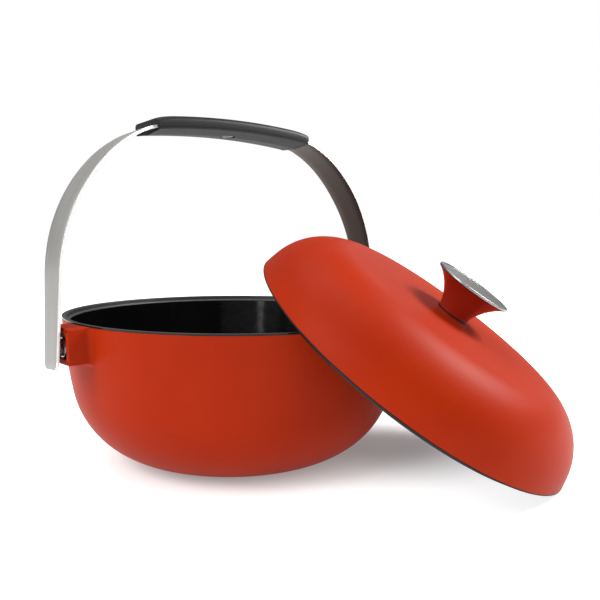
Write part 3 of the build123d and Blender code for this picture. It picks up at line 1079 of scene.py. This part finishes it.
class OVEN_OT_knob(Operator):
    """Turns the flared knob and its steel disc"""

    bl_idname = "oven.knob"
    bl_label = "Knob"

    def execute(self, context):
        scene = context.scene
        lid, knob = scene.oven_lid, scene.oven_knob
        finishes = scene.oven_finishes
        own = lid_matrix(lid)
        base = lid.height + knob.gasket
        top = base + knob.height
        bore = knob.insert + SNUG
        bore_top = frame_height("knob_insert", own) + SNUG
        socket = knob.spigot + SNUG
        socket_floor = top - knob.spigot_deep - SNUG
        edge = 0.2 * MM
        shape = Outline(0, bore_top)
        shape.round(
            [
                (bore, bore_top, edge),
                (bore, base, edge),
                (knob.base, base, 0.25 * MM),
                (knob.base + 0.05 * MM, base + 0.6 * MM, 0),
            ],
            3,
        )
        waist = knob.waist, base + knob.waist_up
        shape.through(waist, (knob.top - 0.15 * MM, top - 0.35 * MM), 26)
        shape.line(knob.top - 0.4 * MM, top)
        shape.round([(socket, top, edge), (socket, socket_floor, edge), (0, socket_floor, 0)], 3)
        mesh = shape.turned(KNOB_ROUNDS)
        coats = [moulded_red("knob_red", finishes)]
        finished("knob_flare", mesh, "lid", coats, ["knob_body"], own)
        low = top + 0.02 * MM
        high = low + knob.disc_thick
        border = knob.disc - knob.disc_border
        spigot_end = low - knob.spigot_deep
        rim = 0.75 * MM
        shape = Outline(0, spigot_end)
        shape.round(
            [
                (knob.spigot, spigot_end, 0.3 * MM),
                (knob.spigot, low, 0.05 * MM),
                (knob.disc, low, rim),
                (knob.disc, high, rim),
                (border, high, 0.15 * MM),
                (border - 0.35 * MM, high - knob.dish, 0.2 * MM),
                (0, high - knob.dish, 0),
            ],
            5,
        )
        mesh = shape.turned(KNOB_ROUNDS)
        coats = [turned_steel("turned_steel", finishes, own.translation, own.to_euler())]
        finished("knob_disc", mesh, "lid", coats, ["knob_cap"], own)
        return {"FINISHED"}


class OVEN_OT_hardware(Operator):
    """Finishes the small carried-over pieces"""

    bl_idname = "oven.hardware"
    bl_label = "Small Parts"

    def execute(self, context):
        finishes = context.scene.oven_finishes
        black = moulding("block_black", finishes.grip, 0.5)
        rubber = moulding("gasket_black", shade(finishes.grip, 0.7), 0.65)
        steel = plain_steel("turned_parts", finishes)
        bearing = bronze("bearing", finishes)
        coat(black, "black_moulding", "hinge_block_left", "hinge_block_right")
        # The grip's underside cover is made darker than the grip as painted shade.
        cover = moulding("cover_black_painted_shade", shade(finishes.grip, 0.6), 0.55)
        coat(cover, "black_moulding", "grip_cover")
        coat(blacked_steel("blacked_screw", finishes), "steel", "grip_screw")
        coat(rubber, "dark_rubber", "knob_gasket")
        coat(bearing, "brass", "hinge_bush_left", "hinge_bush_right", "knob_insert", "grip_insert")
        coat(
            steel,
            "steel",
            "pivot_stud_left",
            "pivot_stud_right",
            "pivot_washer_left",
            "pivot_washer_right",
            "knob_washer",
            "knob_screw",
        )
        return {"FINISHED"}


class OVEN_OT_stage(Operator):
    """Lays the floor and sets the lights and the camera"""

    bl_idname = "oven.stage"
    bl_label = "Stage"

    def execute(self, context):
        scene = context.scene
        stage = scene.oven_stage
        self.lay_floor(scene, stage)
        self.light_sky(scene, stage)
        self.place_camera(scene, stage)
        self.hang_lamps(scene)
        scene.view_settings.view_transform = "Standard"
        return {"FINISHED"}

    def lay_floor(self, scene, stage):
        mesh = bmesh.new()
        bmesh.ops.create_grid(mesh, x_segments=8, y_segments=8, size=stage.floor / 2)
        data = bpy.data.meshes.new("floor")
        mesh.to_mesh(data)
        mesh.free()
        floor = bpy.data.objects.new("floor", data)
        data.materials.append(floor_paint("pale_floor"))
        scene.collection.objects.link(floor)

    def light_sky(self, scene, stage):
        """Even light, stronger from the open side, on a plain white background."""
        world = bpy.data.worlds.new("studio")
        world.use_nodes = True
        tree = world.node_tree
        sky = tree.nodes["Background"]
        sky.inputs["Color"].default_value = (1, 1, 1, 1)
        towards = tree.nodes.new("ShaderNodeVectorMath")
        towards.operation = "DOT_PRODUCT"
        towards.inputs[1].default_value = Vector(stage.open_side).normalized()
        share = tree.nodes.new("ShaderNodeMapRange")
        share.inputs["From Min"].default_value = -0.6
        share.inputs["From Max"].default_value = 0.7
        share.inputs["To Min"].default_value = stage.back_light
        share.inputs["To Max"].default_value = stage.ambient
        seen = tree.nodes.new("ShaderNodeLightPath")
        pick = tree.nodes.new("ShaderNodeMix")
        pick.inputs[3].default_value = 1.0
        for start, end in (
            (tree.nodes.new("ShaderNodeTexCoord").outputs["Generated"], towards.inputs[0]),
            (towards.outputs["Value"], share.inputs["Value"]),
            (share.outputs["Result"], pick.inputs[2]),
            (seen.outputs["Is Camera Ray"], pick.inputs[0]),
            (pick.outputs[0], sky.inputs["Strength"]),
        ):
            tree.links.new(start, end)
        scene.world = world

    def place_camera(self, scene, stage):
        lens = bpy.data.cameras.new("camera")
        lens.lens = stage.lens
        lens.sensor_width = 36
        lens.clip_start, lens.clip_end = 0.01, 50
        camera = bpy.data.objects.new("camera", lens)
        turn = (
            Matrix.Rotation(-stage.heading, 4, "Z")
            @ Matrix.Rotation(pi / 2 - stage.pitch, 4, "X")
            @ Matrix.Rotation(stage.roll, 4, "Z")
        )
        camera.matrix_world = Matrix.Translation(stage.eye) @ turn
        scene.collection.objects.link(camera)
        scene.camera = camera

    def hang_lamps(self, scene):
        for name, spot, aim, size, power in LAMPS:
            lamp = bpy.data.lights.new(name, "AREA")
            lamp.shape = "RECTANGLE"
            lamp.size, lamp.size_y = size
            lamp.energy = power
            held = bpy.data.objects.new(name, lamp)
            held.location = spot
            view = Vector(aim) - Vector(spot)
            held.rotation_euler = view.to_track_quat("-Z", "Y").to_euler()
            scene.collection.objects.link(held)


class OVEN_PT_panel(Panel):
    """Lists the pieces and the stage in the sidebar"""

    bl_label = "Dutch Oven"
    bl_idname = "OVEN_PT_panel"
    bl_space_type = "VIEW_3D"
    bl_region_type = "UI"
    bl_category = "Dutch Oven"

    def draw(self, context):
        column = self.layout.column()
        for name, group in GROUPS.items():
            held = getattr(context.scene, name)
            box = column.box()
            box.label(text=group.__name__)
            for key in group.__annotations__:
                box.prop(held, key)
        for operator in OPERATORS:
            column.operator(operator.bl_idname)


GROUPS = {
    "oven_pot": PotSizes,
    "oven_lug": LugSizes,
    "oven_bail": BailSizes,
    "oven_grip": GripSizes,
    "oven_lid": LidSizes,
    "oven_knob": KnobSizes,
    "oven_finishes": Finishes,
    "oven_stage": StageSizes,
}
OPERATORS = (
    OVEN_OT_pot,
    OVEN_OT_bail,
    OVEN_OT_grip,
    OVEN_OT_lid,
    OVEN_OT_knob,
    OVEN_OT_hardware,
    OVEN_OT_stage,
)


def register():
    for item in (*GROUPS.values(), *OPERATORS, OVEN_PT_panel):
        bpy.utils.register_class(item)
    for name, group in GROUPS.items():
        setattr(bpy.types.Scene, name, PointerProperty(type=group))


def unregister():
    for name in GROUPS:
        delattr(bpy.types.Scene, name)
    for item in reversed((*GROUPS.values(), *OPERATORS, OVEN_PT_panel)):
        bpy.utils.unregister_class(item)


def main():
    register()
    bpy.ops.oven.pot()
    bpy.ops.oven.bail()
    bpy.ops.oven.grip()
    bpy.ops.oven.lid()
    bpy.ops.oven.knob()
    bpy.ops.oven.hardware()
    bpy.ops.oven.stage()


if __name__ == "__main__":
    main()
